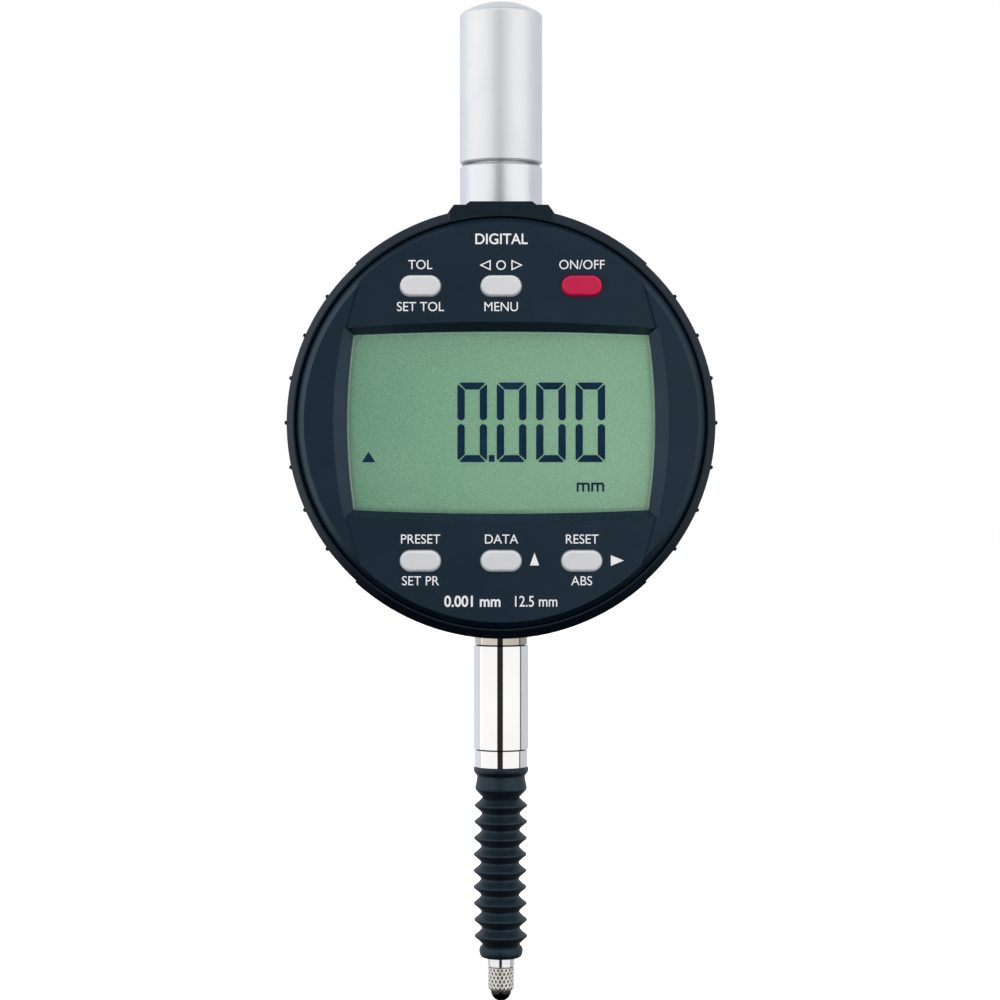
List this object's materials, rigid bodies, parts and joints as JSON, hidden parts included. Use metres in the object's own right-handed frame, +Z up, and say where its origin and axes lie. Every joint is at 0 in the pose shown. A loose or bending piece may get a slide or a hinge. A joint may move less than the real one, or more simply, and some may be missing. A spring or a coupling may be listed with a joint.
{
  "type": "dial indicator",
  "caption": "Digital dial indicator: round case on a clamping stem, rotating display unit with keys, sprung spindle with ball contact and rubber bellows, cap over the spindle's top end.",
  "frame": {"origin": "middle of the stem's clamping length, on the spindle's axis", "axes": "+Z up the stem towards the cap, -Y out of the display's face, +X to the right seen from the front"},
  "size_m": [0.061, 0.0241, 0.1459],
  "materials": {
    "case_black": "satin black moulding",
    "cover_black": "satin black",
    "bezel_black": "fine satin blue-black",
    "window_clear": "clear",
    "lcd_green": "grey-green display",
    "inner_plastic": "moulded",
    "strip_rubber": "soft",
    "board_green": "solder mask",
    "component_black": "moulded",
    "dome_steel": "bright",
    "small_steel": "plain",
    "seal_rubber": "soft",
    "flex_amber": "film",
    "scale_glass": "graduated",
    "carrier_aluminium": "milled",
    "spindle_steel": "ground",
    "bush_brass": "reamed",
    "spring_steel": "wire",
    "collar_steel": "turned",
    "contact_steel": "knurled",
    "ball_carbide": "polished carbide",
    "stem_steel": "polished",
    "cap_aluminium": "satin",
    "bellows_rubber": "matt blue-black",
    "battery_steel": "plated",
    "plug_rubber": "matt",
    "key_red": "satin",
    "key_grey": "satin"
  },
  "bodies": {
    "case": {"housing": "case_black", "rear_cover": "cover_black", "rear_cover_screws": "small_steel", "rear_gasket": "seal_rubber", "battery_tray": "inner_plastic", "coin_battery": "battery_steel", "battery_contacts": "dome_steel", "mounting_stem": "stem_steel", "upper_collar": "collar_steel", "lower_guide_bush": "bush_brass", "upper_guide_bush": "bush_brass", "lower_stop_ring": "seal_rubber", "guide_rail": "bush_brass", "sensor_board": "board_green", "reading_head": "component_black", "flex_cable": "flex_amber", "data_socket": "component_black", "bellows": "bellows_rubber", "measuring_spring": "spring_steel"},
    "display_unit": {"display_bezel": "bezel_black", "display_window": "window_clear", "lcd_panel": "lcd_green", "lcd_frame": "inner_plastic", "contact_strips": "strip_rubber", "main_board": "board_green", "board_components": "component_black", "key_domes": "dome_steel", "display_back_plate": "inner_plastic", "hub_retainer": "small_steel", "display_screws": "small_steel", "display_seal": "seal_rubber"},
    "spindle_set": {"spindle": "spindle_steel", "contact_point": "contact_steel", "contact_ball": "ball_carbide", "lifting_button": "collar_steel", "scale_carrier": "carrier_aluminium", "carrier_clamp_screw": "small_steel", "guide_pin": "spindle_steel", "measuring_scale": "scale_glass"},
    "cap": {"protective_cap": "cap_aluminium"},
    "battery_lid": {"battery_cover": "cover_black"},
    "data_plug": {"data_port_plug": "plug_rubber"},
    "key_tolerance_body": {"key_tolerance": "key_grey"},
    "key_menu_body": {"key_menu": "key_grey"},
    "key_power_body": {"key_power": "key_red"},
    "key_preset_body": {"key_preset": "key_grey"},
    "key_data_body": {"key_data": "key_grey"},
    "key_reset_body": {"key_reset": "key_grey"}
  },
  "joints": [
    {"name": "spindle_travel", "type": "slide", "parent": "case", "child": "spindle_set", "axis": [0, 0, 1], "range_m": [0, 0.0125], "stiffness_N_per_m": 20, "springref_m": -0.035, "deforming": ["bellows", "measuring_spring"]},
    {"name": "display_rotation", "type": "hinge", "parent": "case", "child": "display_unit", "pos_m": [0, 0, 0.03965], "axis": [0, -1, 0], "range_deg": [-140, 140]},
    {"name": "cap_lift_off", "type": "slide", "parent": "case", "child": "cap", "axis": [0, 0, 1], "range_m": [0, 0.03]},
    {"name": "battery_cover_turn", "type": "hinge", "parent": "case", "child": "battery_lid", "pos_m": [0, 0.0083, 0.02865], "axis": [0, -1, 0], "range_deg": [0, 60]},
    {"name": "data_plug_pull", "type": "slide", "parent": "case", "child": "data_plug", "axis": [0.4695, 0, -0.8829], "range_m": [0, 0.008]},
    {"name": "key_tolerance_press", "type": "slide", "parent": "display_unit", "child": "key_tolerance_body", "axis": [0, 1, 0], "range_m": [0, 0.0004], "stiffness_N_per_m": 2500},
    {"name": "key_menu_press", "type": "slide", "parent": "display_unit", "child": "key_menu_body", "axis": [0, 1, 0], "range_m": [0, 0.0004], "stiffness_N_per_m": 2500},
    {"name": "key_power_press", "type": "slide", "parent": "display_unit", "child": "key_power_body", "axis": [0, 1, 0], "range_m": [0, 0.0004], "stiffness_N_per_m": 2500},
    {"name": "key_preset_press", "type": "slide", "parent": "display_unit", "child": "key_preset_body", "axis": [0, 1, 0], "range_m": [0, 0.0004], "stiffness_N_per_m": 2500},
    {"name": "key_data_press", "type": "slide", "parent": "display_unit", "child": "key_data_body", "axis": [0, 1, 0], "range_m": [0, 0.0004], "stiffness_N_per_m": 2500},
    {"name": "key_reset_press", "type": "slide", "parent": "display_unit", "child": "key_reset_body", "axis": [0, 1, 0], "range_m": [0, 0.0004], "stiffness_N_per_m": 2500}
  ]
}
